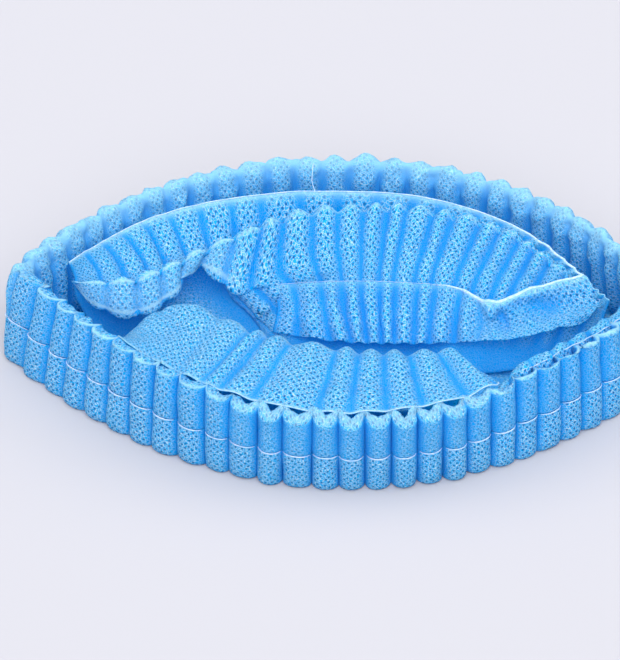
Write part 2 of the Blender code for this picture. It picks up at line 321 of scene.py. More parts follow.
def cloth_sheet(name, points, crest, painted_highlight, closed=False):
    rows, columns = points.shape[:2]
    bm = bmesh.new()
    bmesh.ops.create_grid(bm, x_segments=columns - 1, y_segments=rows - 1, size=1)
    mesh = bpy.data.meshes.new(name)
    bm.to_mesh(mesh)
    flat = np.empty(len(mesh.vertices) * 3)
    mesh.vertices.foreach_get("co", flat)
    column = np.rint((flat[0::3] + 1) / 2 * (columns - 1)).astype(int)
    row = np.rint((flat[1::3] + 1) / 2 * (rows - 1)).astype(int)
    mesh.vertices.foreach_set("co", points[row, column].ravel())
    for attribute, values in (("crest", crest), ("painted_highlight", painted_highlight)):
        mesh.attributes.new(attribute, "FLOAT", "POINT").data.foreach_set("value", values[row, column])
    across = step_lengths(points, 1).mean(axis=0)
    down = step_lengths(points, 0).mean(axis=1)
    vertex = np.empty(len(mesh.loops), int)
    mesh.loops.foreach_get("vertex_index", vertex)
    places = np.stack([across[column[vertex]], down[row[vertex]]], axis=1)
    mesh.uv_layers.new(name="cloth").data.foreach_set("uv", places.ravel())
    bm.clear()
    bm.from_mesh(mesh)
    if closed:
        bmesh.ops.remove_doubles(bm, verts=bm.verts, dist=WELDED_WITHIN)
    bmesh.ops.recalc_face_normals(bm, faces=bm.faces)
    area = sum(face.calc_area() for face in bm.faces)
    bm.to_mesh(mesh)
    bm.free()
    mesh.shade_smooth()
    mesh.materials.append(cloth_surface)
    made = placed(name, mesh)
    thickness = made.modifiers.new("cloth thickness", "SOLIDIFY")
    thickness.thickness = CLOTH
    thickness.offset = 0
    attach(made, "root")
    size = f"{down[-1] / MM:.0f} x {across[-1] / MM:.0f} mm flat, {area * 1e4:.0f} square centimetres"
    print(f"{name}: {rows} x {columns} points, {size}")
    return made


print("cloth is", round(CLOTH / MM, 2), "mm thick")

# %% [markdown]
# The shapes below are smooth curves and surfaces through a few points. Wrinkles come in two kinds: soft ones
# from noise, and sharp ones, each on a line with its own place, width and height. A flute of the wall has one
# of two forms across it, a full arch or a softer wave.

# %% Curves, wrinkles and flutes
WRINKLE_ENDS = 0.1
FLUTE_SQUARENESS = 2.2
WAVE_SHARPNESS = 1.3


def ramp(value, start, end):
    """0 up to start, 1 from end on, and rising evenly in between."""
    return np.clip((value - start) / (end - start), 0, 1)


def bell(value, middle, width):
    """1 at the middle, and fading on both sides of it."""
    return np.exp(-(((value - middle) / width) ** 2))


def through(points, shares):
    """Points on the smooth curve through the given ones, at shares of the way along it."""
    points = np.asarray(points, float)
    places = np.clip(shares, 0, 1) * (len(points) - 1)
    index = np.minimum(places.astype(int), len(points) - 2)
    part = (places - index).reshape(-1, *[1] * (points.ndim - 1))
    before = points[np.maximum(index - 1, 0)]
    start = points[index]
    end = points[index + 1]
    after = points[np.minimum(index + 2, len(points) - 1)]
    bend = (2 * before - 5 * start + 4 * end - after) * part**2
    turn = (3 * start - before - 3 * end + after) * part**3
    return 0.5 * (2 * start + (end - before) * part + bend + turn)


def normals(points):
    """The direction that the sheet faces at each point of its grid."""
    facing = np.cross(np.gradient(points, axis=0), np.gradient(points, axis=1))
    return facing / np.maximum(np.linalg.norm(facing, axis=2, keepdims=True), 1e-12)


def crumple(points, size, depth):
    """The points with soft wrinkles of that size and depth, which follow the place in space."""
    heights = np.array([[noise.noise(Vector(point) / size) for point in row] for row in points])
    return points + normals(points) * (heights * depth)[:, :, None]


Wrinkle = namedtuple("Wrinkle", "start end width height")


def near_wrinkle(points, wrinkle):
    """1 on the middle of a wrinkle's line, and fading from it and towards its ends."""
    start = np.array(wrinkle.start) * MM
    along = np.array(wrinkle.end) * MM - start
    share = np.clip((points - start) @ along / (along @ along), 0, 1)
    distance = np.linalg.norm(points - start - share[:, :, None] * along, axis=2)
    fade = np.sin(np.pi * np.clip(share, WRINKLE_ENDS, 1 - WRINKLE_ENDS))
    return bell(distance, 0, wrinkle.width * MM) * fade


def wrinkled(points, wrinkles):
    """The points with a few sharp wrinkles, whose places and sizes are in millimetres."""
    for wrinkle in wrinkles:
        rise = near_wrinkle(points, wrinkle) * wrinkle.height * MM
        points = points + normals(points) * rise[:, :, None]
    return points


def arch(phase, fullness):
    """A flute's form across it: 0 in the creases at phase 0 and 1, and 1 on the rounded crest."""
    return (1 - np.abs(2 * np.clip(phase, 0, 1) - 1) ** FLUTE_SQUARENESS) ** fullness


def wave(phase):
    """A softer form, with a valley nearly as wide as its crest."""
    return np.sin(np.pi * np.clip(phase, 0, 1)) ** WAVE_SHARPNESS


print("an arch and a wave, a quarter of the way across:", round(arch(0.25, 0.5), 2), round(wave(0.25), 2))

# %% [markdown]
# The wall stands on a lens-shaped outline. Its flutes are spread by the length of that outline, and each one
# gets a slightly different width, depth and height, because the machine's pleats never stay quite even once
# the strip is pulled open. A crowding above 0 sets a side's flutes closer together in its middle, and one
# below 0 at its ends. A skew sets them closer in the side's second half. Turns run from the right tip along
# the back to the left tip, and on along the front.

# %% The outline and its flutes
FRONT_FLUTES = 30
BACK_FLUTES = 30
FRONT_CROWDING = 0.15
FRONT_SKEW = 0.10
BACK_CROWDING = -0.10
CROWDING_ROUNDS = 40
WALL_SAMPLES = 12
OUTLINE_STEPS = 2000
CREASE_WANDER = 0.05


def ring_point(turn, inset):
    """X and Y on the lens at a share of a turn from its right tip, brought in by inset."""
    sine = np.sin(math.tau * turn)
    x = (CAP_LENGTH / 2 - inset) * np.cos(math.tau * turn)
    slimness = np.where(sine < 0, FRONT_SLIMNESS, BACK_SLIMNESS)
    y = (CAP_DEPTH / 2 - inset) * np.sign(sine) * np.abs(sine) ** slimness
    return x, y


def crease_turns(start, flutes, crowding, skew):
    """The creases on the half ring that begins at start, as shares of a turn."""
    wanted = np.arange(flutes) / flutes
    share = wanted.copy()
    for _ in range(CROWDING_ROUNDS):
        crowd = crowding * np.sin(math.tau * share) + skew * (1 - np.cos(math.tau * share))
        share = wanted + crowd / (4 * math.pi)
    turns = np.linspace(start, start + 0.5, OUTLINE_STEPS)
    outline = np.stack(ring_point(turns, 0), axis=1)
    lengths = np.concatenate([[0], np.cumsum(np.linalg.norm(np.diff(outline, axis=0), axis=1))])
    return np.interp(share * lengths[-1], lengths, turns)


back_creases = crease_turns(0.0, BACK_FLUTES, BACK_CROWDING, 0.0)
front_creases = crease_turns(0.5, FRONT_FLUTES, FRONT_CROWDING, FRONT_SKEW)
creases = np.concatenate([back_creases, front_creases, [1.0]])
widths = np.diff(creases)
for index in range(1, len(creases) - 1):
    creases[index] += chance.uniform(-CREASE_WANDER, CREASE_WANDER) * widths[index]

# A crease doesn't stand quite upright, so its foot and its top lie a little apart
wander = []
for index in range(len(creases)):
    wander.append(chance.uniform(-1, 1) * CREASE_WANDER * widths[index % len(widths)])
wander[-1] = wander[0]
wander = np.array(wander)

# The samples of a flute are closest together beside its creases
sample_phase = (1 - np.cos(np.pi * np.arange(WALL_SAMPLES) / WALL_SAMPLES)) / 2
wall_flute = np.append(np.repeat(np.arange(len(widths)), WALL_SAMPLES), 0)
wall_phase = np.append(np.tile(sample_phase, len(widths)), 0.0)
print("flutes round the wall:", len(widths))

# %% [markdown]
# The wall's profile is a table of levels, from its foot under the crown, up the outside, over the rim and
# down the inside. Each level gives the place of the crest and of the crease. Heights are shares of the wall's
# height, and distances in from the outline are shares of the wall fold's depth. There are four profiles. At
# the left of the front the cloth is folded over on top as a lid. At the right of the front it has a lip, a
# shallow recess, a seat for the thread, and an inner lobe. At the middle of the front the flutes gape, and a
# ribbon of cloth hangs over each open hole. At the back each flute rolls over as one round lobe.

# %% The wall's profiles
# Up, the crest's and the crease's distance in, and how far the crease drops below its level
WALL_FACE = (
    (0.000, 1.350, 1.350, 0.00),
    (0.000, 0.700, 0.980, 0.00),
    (0.012, 0.230, 0.500, 0.00),
    (0.060, 0.060, 0.420, 0.00),
    (0.240, 0.030, 0.400, 0.00),
    (0.440, 0.035, 0.400, 0.00),
    (0.465, 0.060, 0.400, 0.00),
    (0.490, 0.040, 0.400, 0.00),
    (0.720, 0.040, 0.400, 0.00),
)
LIDDED_WALL = WALL_FACE + (
    (0.940, 0.045, 0.545, 0.00),
    (0.985, 0.045, 0.555, 0.02),
    (0.996, 0.080, 0.560, 0.03),
    (0.985, 0.220, 0.580, 0.03),
    (0.970, 0.400, 0.600, 0.03),
    (0.945, 0.560, 0.640, 0.03),
    (0.890, 0.640, 0.680, 0.02),
    (0.800, 0.700, 0.720, 0.01),
    (0.620, 0.780, 0.760, 0.00),
    (0.400, 0.900, 0.780, 0.00),
    (0.070, 1.000, 0.790, 0.00),
)
LOBED_WALL = WALL_FACE + (
    (0.940, 0.045, 0.545, 0.00),
    (0.985, 0.045, 0.555, 0.02),
    (0.990, 0.110, 0.560, 0.03),
    (0.955, 0.220, 0.580, 0.03),
    (0.890, 0.330, 0.600, 0.00),
    (0.880, 0.460, 0.620, 0.00),
    (0.960, 0.560, 0.680, 0.02),
    (1.000, 0.690, 0.760, 0.03),
    (0.965, 0.870, 0.900, 0.03),
    (0.600, 1.000, 0.940, 0.00),
    (0.070, 1.000, 0.940, 0.00),
)
ROLLED_WALL = WALL_FACE + (
    (0.880, 0.090, 0.500, 0.00),
    (0.955, 0.170, 0.480, 0.01),
    (0.990, 0.290, 0.490, 0.02),
    (1.000, 0.410, 0.540, 0.03),
    (0.985, 0.540, 0.600, 0.04),
    (0.950, 0.680, 0.640, 0.04),
    (0.890, 0.800, 0.660, 0.03),
    (0.800, 0.890, 0.670, 0.02),
    (0.680, 0.950, 0.680, 0.00),
    (0.430, 1.000, 0.690, 0.00),
    (0.070, 1.000, 0.700, 0.00),
)
GAPING_WALL = (
    (0.000, 1.350, 1.350, 0.00),
    (0.000, 0.700, 1.050, 0.00),
    (0.012, 0.230, 0.600, 0.00),
    (0.060, 0.060, 0.520, 0.00),
    (0.240, 0.030, 0.500, 0.00),
    (0.440, 0.035, 0.500, 0.00),
    (0.465, 0.060, 0.500, 0.00),
    (0.490, 0.040, 0.500, 0.00),
    (0.700, 0.040, 0.510, 0.00),
    (0.865, 0.020, 0.520, -0.05),
    (0.890, 0.005, 0.530, -0.06),
    (0.900, 0.120, 0.580, -0.07),
    (0.912, 0.290, 0.610, -0.08),
    (0.928, 0.480, 0.640, -0.075),
    (0.895, 0.500, 0.700, -0.06),
    (0.800, 0.520, 0.800, 0.00),
    (0.680, 0.540, 0.865, 0.00),
    (0.500, 0.620, 0.880, 0.00),
    (0.300, 0.760, 0.920, 0.00),
    (0.070, 0.900, 0.950, 0.00),
)
THREAD_LEVEL = 6
BRIM_THREAD_LEVEL = 15
LAST_LEVEL = len(GAPING_WALL) - 1
print("levels of the wall:", LAST_LEVEL + 1)

# %% [markdown]
# Stations round the wall say how high it is, how much of each profile it has, and how far it leans in. Each
# level of the profiles becomes rows of points. A flute is a full arch outside and a softer wave inside, and
# comes to a point where it gapes. Above the thread the cloth's pattern is a little weaker. Soft noise
# crumples the whole wall, and finer noise crinkles its brim and its inside.

# %% The wall
WallStation = namedtuple("WallStation", "turn height gaping rolled lobed lean")
STATION_ROWS = (
    (0.000, 0.96, 0.0, 0.4, 1.0, 1.2),
    (0.050, 0.93, 0.0, 1.0, 1.0, 1.5),
    (0.120, 0.94, 0.0, 1.0, 1.0, 1.6),
    (0.250, 0.96, 0.0, 1.0, 1.0, 1.0),
    (0.330, 1.05, 0.0, 1.0, 0.5, 0.5),
    (0.400, 1.07, 0.0, 1.0, 0.0, 0.1),
    (0.470, 1.08, 0.0, 1.0, 0.0, 0.1),
    (0.500, 1.08, 0.0, 0.5, 0.0, 0.5),
    (0.540, 1.06, 0.0, 0.0, 0.0, 1.0),
    (0.620, 1.03, 0.0, 0.0, 0.0, 1.3),
    (0.680, 0.96, 0.1, 0.0, 0.0, 1.0),
    (0.710, 0.89, 1.0, 0.0, 0.0, 1.0),
    (0.730, 0.87, 1.0, 0.0, 0.0, 1.0),
    (0.800, 0.87, 1.0, 0.0, 1.0, 1.0),
    (0.835, 1.01, 0.0, 0.0, 1.0, 0.7),
    (0.900, 1.05, 0.0, 0.0, 1.0, 0.6),
    (0.960, 1.02, 0.0, 0.0, 1.0, 0.7),
    (1.000, 0.96, 0.0, 0.4, 1.0, 1.2),
)
WALL_STATIONS = [WallStation(*row) for row in STATION_ROWS]
ROWS_A_LEVEL = 2
SOFT_FROM = (16.5, 8.5)  # on the folded wall and on the rolled one
SOFT_LEVELS = 2.5
POINTED_LEVELS = (9.5, 11.5)
CRINKLED_LEVELS = (9.0, 10.5)
DEPTH_CHANGE = 0.05
RISE_CHANGE = (-0.025, 0.015)
FULLNESS = (0.42, 0.56)
UNMOVED_AT = 0.4
SHOWN_OUTSIDE = 0.6
ABOVE_THREAD = (0.78, 0.57)
ABOVE_THREAD_TURNS = (0.66, 0.70)
WEAKER_UNTIL = 10

# The level, width and strength of each band of painted highlight
EDGE_HIGHLIGHT = (10.6, 0.6, 1.1)
RIBBON_HIGHLIGHT = (11.8, 1.4, 0.7)
BACK_LOBE_HIGHLIGHT = (12.0, 3.2, 0.85)


def along_wall(turn, field):
    """A value of the wall's stations at a turn."""
    turns = [station.turn for station in WALL_STATIONS]
    return np.interp(turn, turns, [getattr(station, field) for station in WALL_STATIONS])


def lean_in(turn, share_up):
    """How far the wall leans in near both tips, which grows towards its top."""
    lean = TIP_LEAN * along_wall(turn, "lean")
    return lean * np.abs(np.cos(math.tau * turn)) ** LEAN_FADE * share_up


def wall_grid():
    """The wall's points, and how much of the cloth's pattern each one shows; where that is low, in the
    creases, the cloth is painted a deeper blue as shade.
    """
    shares = np.linspace(0, 1, LAST_LEVEL * ROWS_A_LEVEL + 1)
    profiles = (LIDDED_WALL, LOBED_WALL, GAPING_WALL, ROLLED_WALL)
    tables = [through(profile, shares) for profile in profiles]
    count = len(widths)
    depth = np.array([chance.uniform(-DEPTH_CHANGE, DEPTH_CHANGE) for _ in range(count)])[wall_flute]
    rise = np.array([chance.uniform(*RISE_CHANGE) for _ in range(count)])[wall_flute]
    fullness = np.array([chance.uniform(*FULLNESS) for _ in range(count)])[wall_flute]
    pointed = 1 - np.abs(2 * wall_phase - 1)
    rows = []
    crests = []
    for share, lidded, lobed, gaping, rolled in zip(shares, *tables):
        number = share * LAST_LEVEL
        sway = lidded[0] - UNMOVED_AT
        start = creases[wall_flute] + wander[wall_flute] * sway
        end = creases[wall_flute + 1] + wander[wall_flute + 1] * sway
        turn = start + (end - start) * wall_phase
        gape = along_wall(turn, "gaping")
        roll = along_wall(turn, "rolled")
        folded = lidded + (lobed - lidded) * along_wall(turn, "lobed")[:, None]
        level = folded + (gaping - folded) * gape[:, None] + (rolled - folded) * roll[:, None]
        up, crest_in, crease_in, crease_drop = level.T
        soft_from = np.interp(roll, (0, 1), SOFT_FROM)
        inside = ramp(number, soft_from, soft_from + SOFT_LEVELS) * (1 - gape)
        point = ramp(number, *POINTED_LEVELS) * gape
        crest = arch(wall_phase, fullness)
        crest = crest + (wave(wall_phase) - crest) * inside + (pointed - crest) * point
        up = up - crease_drop * (1 - crest) + rise * crest * up
        inset = WALL_FOLD_DEPTH * (crease_in + (crest_in - crease_in) * crest + depth * crest)
        x, y = ring_point(turn, inset + lean_in(turn, up))
        height = WALL_HEIGHT * along_wall(turn, "height") * up
        rows.append(np.stack([x, y, np.maximum(height, CLOTH / 2)], axis=1))
        # Painted shade: "crest" is lowest in the creases, which the cloth paints a deeper, plainer blue
        shown = wave(wall_phase) ** (SHOWN_OUTSIDE + (1 - SHOWN_OUTSIDE) * inside)
        if THREAD_LEVEL < number < WEAKER_UNTIL:
            shown = shown * np.interp(turn, ABOVE_THREAD_TURNS, ABOVE_THREAD)
        crests.append(shown * (1 - point) + point)
    rows = np.array(rows)
    rows[:, -1] = rows[:, 0]
    return rows, np.array(crests)


def highlight_band(level, middle, width, strength):
    return bell(level, middle, width) * strength


def wall_highlight(level):
    """How much painted highlight each level of the wall gets: most at its top edge, and over more levels at
    the back.
    """
    turn = creases[wall_flute] + (creases[wall_flute + 1] - creases[wall_flute]) * wall_phase
    rolled = along_wall(turn, "rolled")[None, :]
    gaping = along_wall(turn, "gaping")[None, :]
    front = highlight_band(level, *EDGE_HIGHLIGHT) * (1 - gaping) + highlight_band(level, *RIBBON_HIGHLIGHT) * gaping
    return front * (1 - rolled) + highlight_band(level, *BACK_LOBE_HIGHLIGHT) * rolled


wall_points, wall_crest = wall_grid()
wall_level = np.linspace(0, LAST_LEVEL, len(wall_points))[:, None]
wall_points = crumple(wall_points, size=7 * MM, depth=0.5 * MM)
wall_points = crumple(wall_points, size=3 * MM, depth=1.1 * MM * ramp(wall_level, *CRINKLED_LEVELS))
wall_points[:, -1] = wall_points[:, 0]
wall_points[:, :, 2] = np.maximum(wall_points[:, :, 2], CLOTH / 2)
wall_cloth = cloth_sheet("wall_cloth", wall_points, wall_crest, wall_highlight(wall_level), closed=True)
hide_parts("outer_wall")

# %% [markdown]
# Inside the wall the cloth lies in folds. Each fold is a smooth surface through a few lines of stations, and
# its flutes are pushed out of that surface. A station is a place as shares of the space inside the wall, and
# of the wall's height. One without a height stands on the crown. A fold says how deep its flutes are (depth,
# and a share of it for each line), how many points make a flute (samples), how far down its ridge lies, where
# the flutes are spread (ridge_at), how far they fan from there (fan, and more above it by fan_above), and up
# to where they are rounder (rounded_to).

# %% A fold from its stations
LINE_STEPS = 400
CREASE_CHANGE = 0.12
FOLD_FULLNESS = (0.6, 0.9)
FOLD_STRENGTH = (0.8, 1.15)
ROUNDED = 0.38
END_FADE = 1.5
CREASE_SHADE_WIDTH = 4.0 * MM

FIELDS = "lines depths depth samples rows ridge_at fan fan_above rounded_to"
Fold = namedtuple("Fold", FIELDS, defaults=(0.0, 0.0, 1.0, 0.0))


def station_point(station):
    along, across, up = station
    height = FOOT_HEIGHT if up is None else up * WALL_HEIGHT
    return along * INNER_HALF_LENGTH, across * INNER_HALF_DEPTH, height


def fold_lines(fold):
    return [[station_point(station) for station in line] for line in fold.lines.values()]


def line_lengths(line):
    """Shares of the way through a line's stations, and the line's length up to each of them."""
    shares = np.linspace(0, 1, LINE_STEPS)
    steps = np.linalg.norm(np.diff(through(line, shares), axis=0), axis=1)
    return shares, np.concatenate([[0], np.cumsum(steps)])


def even_creases(flutes, crowding):
    """Where the creases lie along a fold's ridge: nearly even, and closer together towards one end."""
    shares = np.arange(flutes + 1) / flutes
    for index in range(1, flutes):
        shares[index] += chance.uniform(-CREASE_CHANGE, CREASE_CHANGE) / flutes
    return shares + crowding * shares * (1 - shares)


def fold_grid(fold, lines, fold_creases, swell):
    """The points of a fold, how far each lies up its flute's side, which sets the painted shade in its
    creases, and its place along the fold.
    """
    count = len(fold_creases) - 1
    fullness = np.array([chance.uniform(*FOLD_FULLNESS) for _ in range(count)])
    fullness = np.where(fold_creases[:-1] < fold.rounded_to, ROUNDED, fullness)
    strength = np.array([chance.uniform(*FOLD_STRENGTH) for _ in range(count)])
    phase = np.linspace(0, count, count * fold.samples + 1)
    flute = np.minimum(phase.astype(int), count - 1)
    part = phase - flute
    place = np.interp(phase, np.arange(count + 1), fold_creases)
    shares, lengths = line_lengths(lines[round(fold.ridge_at * (len(lines) - 1))])
    downs = np.linspace(0, 1, fold.rows)
    rows = []
    for down in downs:
        spread = fold.fan * (fold.fan_above if down < fold.ridge_at else 1)
        fanned = place + spread * np.sin(math.tau * place) * (down - fold.ridge_at)
        stations = np.interp(fanned, lengths / lengths[-1], shares)
        across = np.array([through(line, stations) for line in lines])
        rows.append(through(across, np.array([down]))[0])
    surface = np.array(rows)
    ends = ramp(np.minimum(phase, count - phase), 0, END_FADE)
    crest = np.sin(np.pi * part) ** (2 * fullness[flute])
    push = (crest - 0.5) * strength[flute] * ends * fold.depth
    deep = through(np.array(fold.depths, float)[:, None], downs)
    push = push[None, :] * deep * swell(place[None, :], downs[:, None])
    points = surface + normals(surface) * push[:, :, None]
    points[:, :, 2] = np.maximum(points[:, :, 2], FOOT_HEIGHT)
    from_crease = np.minimum(part, 1 - part) * np.diff(fold_creases)[flute] * lengths[-1]
    # Painted shade: the cloth is painted a deeper blue within CREASE_SHADE_WIDTH of each crease
    shown = np.sin(np.pi / 2 * np.clip(from_crease / CREASE_SHADE_WIDTH, 0, 1))
    return points, np.tile(shown, (fold.rows, 1)), np.tile(place, (fold.rows, 1))


def near_row(grid, share, width):
    """A value for each point of a grid: 1 on the row at that share of the way down, and fading from it."""
    downs = np.linspace(0, 1, grid.shape[0])
    return np.tile(bell(downs, share, width)[:, None], (1, grid.shape[1]))


print("a fold's foot stands at", round(FOOT_HEIGHT / MM, 2), "mm")

# %% [markdown]
# The centre fold carries the back hem. From the hem the cloth drops into a valley, rises to a ridge, rolls
# over in a brow and falls to the crown. At its left the ridge and brow curl over as a scalloped lip.

# %% The centre fold's lines
CENTRE_FOLD = Fold(
    lines={
        "hem": (
            (-0.947, 0.134, 0.97), (-0.851, 0.294, 0.969), (-0.722, 0.478, 0.97), (-0.593, 0.594, 0.975),
            (-0.45, 0.677, 0.98), (-0.287, 0.736, 0.981), (-0.113, 0.764, 0.98), (0.249, 0.717, 0.97),
            (0.586, 0.443, 0.93), (0.868, -0.035, 0.75),
        ),
        "valley": (
            (-0.93, 0.14, 0.8), (-0.829, 0.225, 0.781), (-0.699, 0.332, 0.75), (-0.587, 0.423, 0.7),
            (-0.462, 0.507, 0.65), (-0.3, 0.591, 0.617), (-0.124, 0.648, 0.6), (0.225, 0.607, 0.63),
            (0.563, 0.402, 0.8), (0.862, -0.023, 0.65),
        ),
        "dip": (
            (-0.928, 0.13, 0.73), (-0.838, 0.132, 0.69), (-0.72, 0.142, 0.705), (-0.603, 0.226, 0.755),
            (-0.471, 0.334, 0.81), (-0.31, 0.44, 0.9), (-0.132, 0.534, 0.94), (0.225, 0.531, 0.955),
            (0.563, 0.36, 0.91), (0.859, -0.023, 0.617),
        ),
        "ridge": (
            (-0.928, 0.11, 0.77), (-0.84, 0.092, 0.778), (-0.722, 0.099, 0.8), (-0.606, 0.184, 0.849),
            (-0.474, 0.292, 0.92), (-0.312, 0.393, 1.027), (-0.136, 0.473, 1.12), (0.225, 0.49, 1.13),
            (0.563, 0.338, 0.97), (0.857, -0.023, 0.6),
        ),
        "edge": (
            (-0.939, 0.147, 0.733), (-0.855, 0.043, 0.573), (-0.726, -0.002, 0.533), (-0.609, 0.083, 0.633),
            (-0.514, 0.242, 0.783), (-0.363, 0.17, 0.64), (-0.143, 0.3, 0.85), (0.215, 0.37, 0.98),
            (0.545, 0.25, 0.84), (0.85, -0.02, 0.5),
        ),
        "tuck": (
            (-0.93, 0.167, 0.677), (-0.844, 0.077, 0.527), (-0.721, 0.033, 0.487), (-0.603, 0.12, 0.58),
            (-0.505, 0.283, 0.743), (-0.356, 0.17, 0.56), (-0.134, 0.23, 0.72), (0.212, 0.305, 0.87),
            (0.54, 0.21, 0.75), (0.846, -0.02, 0.45),
        ),
        "brow": (
            (-0.916, 0.15, 0.45), (-0.81, 0.15, 0.367), (-0.701, 0.158, 0.3), (-0.581, 0.233, 0.367),
            (-0.48, 0.35, 0.517), (-0.31, 0.13, 0.37), (-0.12, 0.19, 0.567), (0.201, 0.19, 0.68),
            (0.521, 0.13, 0.6), (0.835, -0.018, 0.36),
        ),
        "foot": (
            (-0.835, 0.099, None), (-0.73, 0.124, None), (-0.586, 0.134, None), (-0.425, 0.082, None),
            (-0.272, 0.018, None), (-0.171, -0.022, None), (-0.079, -0.05, None), (0.169, -0.09, None),
            (0.44, -0.18, None), (0.8, -0.04, None),
        ),
    },
    depths=(0.35, 0.9, 0.8, 1.0, 0.8, 0.6, 0.5, 0.1),
    ridge_at=3 / 7,
    fan=0.06,
    fan_above=3.5,
    depth=3.0 * MM,
    samples=14,
    rows=99,
    rounded_to=0.30,
)
print("lines across the centre fold:", len(CENTRE_FOLD.lines))

# %% [markdown]
# Under the curl lies a smooth hollow, where broad soft wrinkles take the place of the flutes. The hollow and
# the plain foot are painted a deeper, plainer blue as shade, and the hollow's lower left, which faces the
# light, is painted lighter and shows the cloth's dots. The ridge, the hem and the curl's lip get painted
# highlights, and the curl's face is painted paler. A sharp wrinkle and a crease cross the fold where the curl
# ends.

# %% The centre fold
CENTRE_FLUTES = 24
CENTRE_CROWDING = 0.25
CENTRE_WRINKLES = (
    Wrinkle((-30, 5, 9), (-21, 9, 18), 1.3, 4.5),
    Wrinkle((-36, 4, 14), (-25, 5, 11), 1.6, -2.5),
)
HOLLOW_ENDS = (0.26, 0.31)
HOLLOW_STARTS = (0.61, 0.65)
PLAIN_FOOT = (0.90, 0.95)
CURL_ENDS = (0.28, 0.33)
LIT_PATCH_STARTS = (0.72, 0.84)
FLUTES_LOST = 0.85
HOLLOW_SHADED_CREST = 0.22
LIT_PATCH_CREST = 0.6
LIT_CURL_CREST = 0.50

# The place, width and strength of each row of painted highlight, and how much stronger it is on the curl
HIGHLIGHT_ROWS = (
    (3 / 7, 0.010, 0.7, 0.5),
    (0.0, 0.022, 0.9, 0.0),
    (3.88 / 7, 0.010, 0.0, 1.2),
    (0.5, 0.05, 0.0, 0.22),
)


def recess(place, down):
    """1 in the smooth hollow under the curl and on the plain foot, and 0 where the flutes show."""
    under_curl = (1 - ramp(place, *HOLLOW_ENDS)) * ramp(down, *HOLLOW_STARTS)
    return np.maximum(under_curl, ramp(down, *PLAIN_FOOT))


def centre_swell(place, down):
    return 1 - FLUTES_LOST * recess(place, down)


centre_lines = fold_lines(CENTRE_FOLD)
centre_creases = even_creases(CENTRE_FLUTES, CENTRE_CROWDING)
centre_points, centre_crest, centre_place = fold_grid(CENTRE_FOLD, centre_lines, centre_creases, centre_swell)
centre_down = np.linspace(0, 1, len(centre_points))[:, None]
hollow = recess(centre_place, centre_down)
curl = 1 - ramp(centre_place, *CURL_ENDS)
# Painted light: the hollow's lower left, which faces the light, is painted lighter and shows dots
painted_lit_patch = bell(centre_place, middle=0.13, width=0.08) * ramp(centre_down, *LIT_PATCH_STARTS)

centre_points = crumple(centre_points, size=6 * MM, depth=0.5 * MM)
centre_points = crumple(centre_points, size=14 * MM, depth=3.5 * MM * hollow)
centre_points = wrinkled(centre_points, CENTRE_WRINKLES)
centre_points[:, :, 2] = np.maximum(centre_points[:, :, 2], FOOT_HEIGHT)
# Painted shade: the hollow and the plain foot get a low crest, so they are painted a deeper, plainer blue
centre_crest = centre_crest * (1 - hollow) + HOLLOW_SHADED_CREST * hollow
centre_crest = np.maximum(centre_crest, LIT_PATCH_CREST * painted_lit_patch)
# Painted light: the curl's face is painted paler
lit_curl_face = near_row(centre_points, share=3.5 / 7, width=0.06)
centre_crest = np.maximum(centre_crest, LIT_CURL_CREST * curl * lit_curl_face)
# Painted highlights along the ridge, the hem, the curl's lip and the curl's face
centre_highlight = 0
for share, width, strength, on_curl in HIGHLIGHT_ROWS:
    centre_highlight = centre_highlight + near_row(centre_points, share, width) * (strength + on_curl * curl)
centre_cloth = cloth_sheet("centre_fold_cloth", centre_points, centre_crest, centre_highlight)
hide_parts("centre_fold")

# %% [markdown]
# The front hem panel is a second layer. It lies on the centre fold's face at its left and sags away from it
# in a pocket at its right, up to the front hem.

# %% The front hem panel's lines
FRONT_HEM_PANEL = Fold(
    lines={
        "hem": (
            (-0.261, 0.131, 0.7), (-0.059, 0.146, 0.72), (0.154, 0.14, 0.72), (0.355, 0.095, 0.71),
            (0.47, -0.033, 0.7), (0.6, 0.03, 0.77), (0.788, 0.11, 0.85),
        ),
        "sag": (
            (-0.245, 0.07, 0.52), (-0.047, 0.064, 0.52), (0.148, 0.052, 0.52), (0.34, 0.01, 0.52),
            (0.475, -0.1, 0.52), (0.61, -0.072, 0.6), (0.845, -0.03, 0.7),
        ),
        "drop": (
            (-0.262, -0.01, 0.32), (-0.024, -0.076, 0.3), (0.148, -0.093, 0.3), (0.33, -0.095, 0.31),
            (0.48, -0.14, 0.41), (0.61, -0.13, 0.455), (0.78, -0.05, 0.577),
        ),
    },
    depths=(0.6, 0.9, 0.9),
    depth=2.8 * MM,
    samples=14,
    rows=30,
)
print("lines across the front hem panel:", len(FRONT_HEM_PANEL.lines))

# %% [markdown]
# The panel's creases lie in front of those of the centre fold. The photograph shows no end at its left, so
# that end is tucked back into the centre fold, away from the camera. Its right is a loose flap without
# flutes, which sags in one soft wave and has sharp wrinkles and creases. Painted light and shade follow the
# sag's wave, the creases are painted darker as shade, and the hem has a painted highlight.

